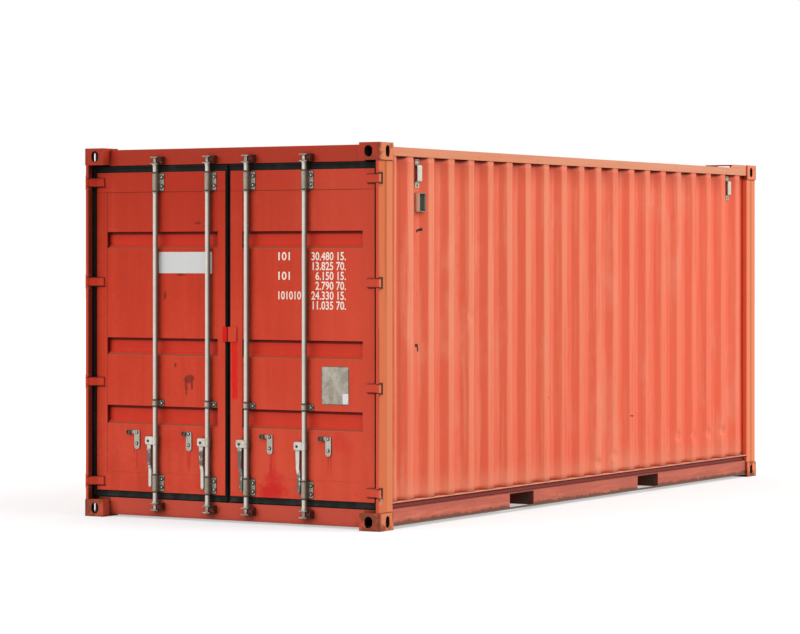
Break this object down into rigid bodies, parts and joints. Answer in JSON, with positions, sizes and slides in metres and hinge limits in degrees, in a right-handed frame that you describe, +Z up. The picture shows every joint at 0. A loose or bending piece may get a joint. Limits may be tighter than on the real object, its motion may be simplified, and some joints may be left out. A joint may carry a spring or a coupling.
{
  "type": "shipping container",
  "caption": "Steel freight container with corrugated walls, a ribbed roof, a timber floor and two hinged end doors worked by vertical locking bars with swinging handles.",
  "frame": {"origin": "centre of the footprint, on the plane of the bottom corner castings' feet", "axes": "+X along the length towards the closed end, +Y across towards the left side as seen facing the doors, +Z up"},
  "size_m": [6.058, 2.438, 2.591],
  "materials": {
    "red_paint": "satin",
    "side_paint": "satin",
    "galvanised": "satin",
    "seal_rubber": "matte",
    "floor_wood": "satin",
    "vent_grey": "matte"
  },
  "bodies": {
    "container": {"castings_door_end": "red_paint", "castings_front_end": "side_paint", "door_post_left": "red_paint", "door_post_right": "red_paint", "front_post_left": "side_paint", "front_post_right": "side_paint", "door_header": "red_paint", "door_sill": "red_paint", "front_top_rail": "side_paint", "front_bottom_rail": "side_paint", "top_rail_left": "side_paint", "top_rail_right": "side_paint", "bottom_rail_left": "side_paint", "bottom_rail_right": "side_paint", "side_wall_left": "side_paint", "side_wall_right": "side_paint", "front_wall": "side_paint", "roof_panel": "side_paint", "roof_corner_plates": "side_paint", "floor_boards": "floor_wood", "cross_members": "red_paint", "fork_pockets": "red_paint", "hinge_lugs_left": "red_paint", "hinge_lugs_right": "red_paint", "cam_keepers": "red_paint", "side_vents_left": "vent_grey", "side_vents_right": "vent_grey", "side_box": "galvanised"},
    "door_leaf_left": {"door_left_frame": "red_paint", "door_left_panel": "red_paint", "door_left_gasket": "seal_rubber", "door_left_hinges": "red_paint", "door_left_bar_brackets": "galvanised", "door_left_retainers": "galvanised", "door_left_lug_plate": "red_paint"},
    "door_leaf_right": {"door_right_frame": "red_paint", "door_right_panel": "red_paint", "door_right_gasket": "seal_rubber", "door_right_hinges": "red_paint", "door_right_bar_brackets": "galvanised", "door_right_retainers": "galvanised", "door_right_lug_plate": "red_paint"},
    "bar_1": {"locking_bar_1": "galvanised", "bar_cams_and_hub_1": "galvanised"},
    "bar_handle_1": {"handle_1": "galvanised"},
    "bar_2": {"locking_bar_2": "galvanised", "bar_cams_and_hub_2": "galvanised"},
    "bar_handle_2": {"handle_2": "galvanised"},
    "bar_3": {"locking_bar_3": "galvanised", "bar_cams_and_hub_3": "galvanised"},
    "bar_handle_3": {"handle_3": "galvanised"},
    "bar_4": {"locking_bar_4": "galvanised", "bar_cams_and_hub_4": "galvanised"},
    "bar_handle_4": {"handle_4": "galvanised"}
  },
  "joints": [
    {"name": "door_left", "type": "hinge", "parent": "container", "child": "door_leaf_left", "pos_m": [-3.015, 1.205, 1.3], "axis": [0, 0, -1], "range_deg": [0, 270]},
    {"name": "door_right", "type": "hinge", "parent": "container", "child": "door_leaf_right", "pos_m": [-3.015, -1.205, 1.3], "axis": [0, 0, 1], "range_deg": [0, 270]},
    {"name": "locking_bar_1_turn", "type": "hinge", "parent": "door_leaf_left", "child": "bar_1", "pos_m": [-2.984, 0.63888, 1.3], "axis": [0, 0, 1], "range_deg": [0, 180]},
    {"name": "handle_1_lift", "type": "hinge", "parent": "bar_1", "child": "bar_handle_1", "pos_m": [-2.984, 0.69188, 0.544], "axis": [1, 0, 0], "range_deg": [0, 90]},
    {"name": "locking_bar_2_turn", "type": "hinge", "parent": "door_leaf_left", "child": "bar_2", "pos_m": [-2.984, 0.198, 1.3], "axis": [0, 0, 1], "range_deg": [0, 180]},
    {"name": "handle_2_lift", "type": "hinge", "parent": "bar_2", "child": "bar_handle_2", "pos_m": [-2.984, 0.251, 0.544], "axis": [1, 0, 0], "range_deg": [0, 90]},
    {"name": "locking_bar_3_turn", "type": "hinge", "parent": "door_leaf_right", "child": "bar_3", "pos_m": [-2.984, -0.12377, 1.3], "axis": [0, 0, 1], "range_deg": [0, 180]},
    {"name": "handle_3_lift", "type": "hinge", "parent": "bar_3", "child": "bar_handle_3", "pos_m": [-2.984, -0.07077, 0.544], "axis": [1, 0, 0], "range_deg": [0, 45]},
    {"name": "locking_bar_4_turn", "type": "hinge", "parent": "door_leaf_right", "child": "bar_4", "pos_m": [-2.984, -0.59513, 1.3], "axis": [0, 0, 1], "range_deg": [0, 180]},
    {"name": "handle_4_lift", "type": "hinge", "parent": "bar_4", "child": "bar_handle_4", "pos_m": [-2.984, -0.54214, 0.544], "axis": [1, 0, 0], "range_deg": [0, 90]}
  ]
}
